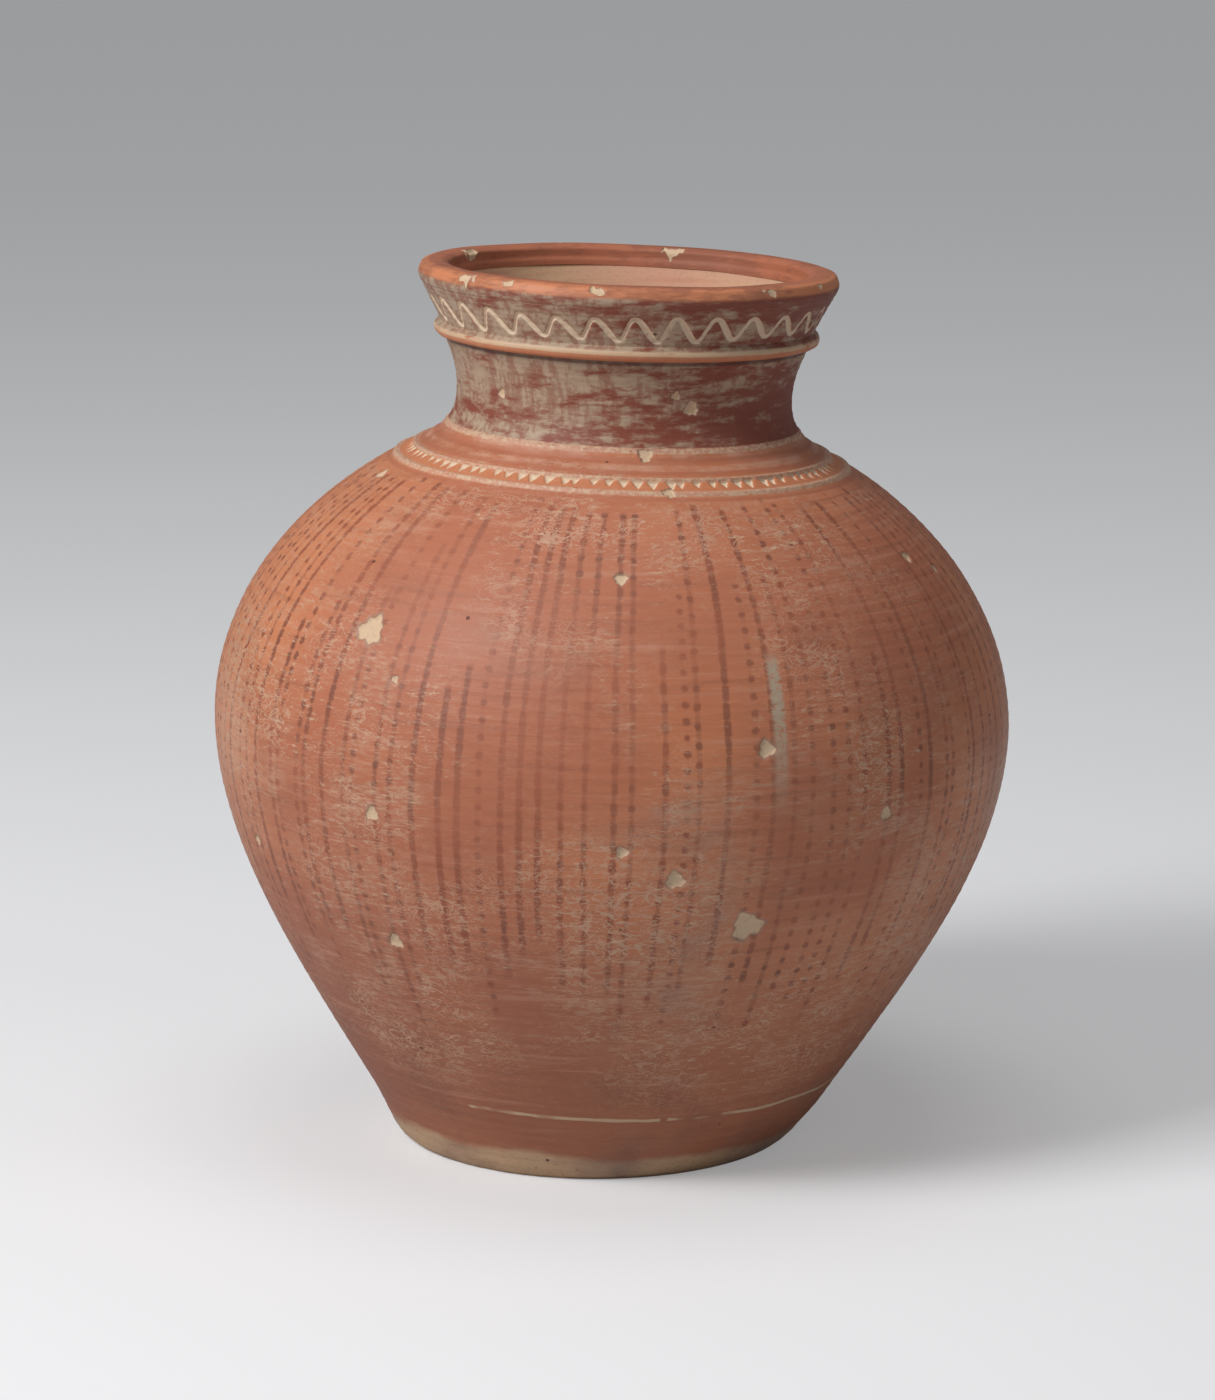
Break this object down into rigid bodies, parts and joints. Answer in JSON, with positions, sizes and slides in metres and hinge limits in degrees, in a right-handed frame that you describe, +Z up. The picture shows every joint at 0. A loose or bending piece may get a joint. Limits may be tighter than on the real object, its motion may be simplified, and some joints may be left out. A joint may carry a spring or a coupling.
{
  "type": "pottery storage jar",
  "caption": "Round-bellied fired clay storage jar with a flat foot, short flared neck, applied cordon, ridged and notched shoulder band and painted dotted stripes.",
  "frame": {"origin": "centre of the jar's flat foot, on the surface it stands on", "axes": "+Z up from the foot to the mouth, +X to the right as seen from the front, the way the mouth leans, +Y towards the back"},
  "size_m": [0.3179, 0.3182, 0.353],
  "materials": {
    "bare_clay": "unslipped fired clay, matt and slightly gritty",
    "red_slip": "burnished orange-red slip with dark painted dots, satin and worn",
    "worn_neck": "red slip under a worn cream-grey wash, matt"
  },
  "bodies": {
    "root": {"floor_slab": "bare_clay", "lower_wall": "red_slip", "lower_belly_wall": "red_slip", "upper_belly_wall": "red_slip", "lower_shoulder_wall": "red_slip", "upper_shoulder_wall": "red_slip", "ridged_ring": "red_slip", "neck_wall": "worn_neck", "neck_cordon": "worn_neck", "rim_collar": "worn_neck", "lip": "worn_neck"}
  },
  "joints": []
}
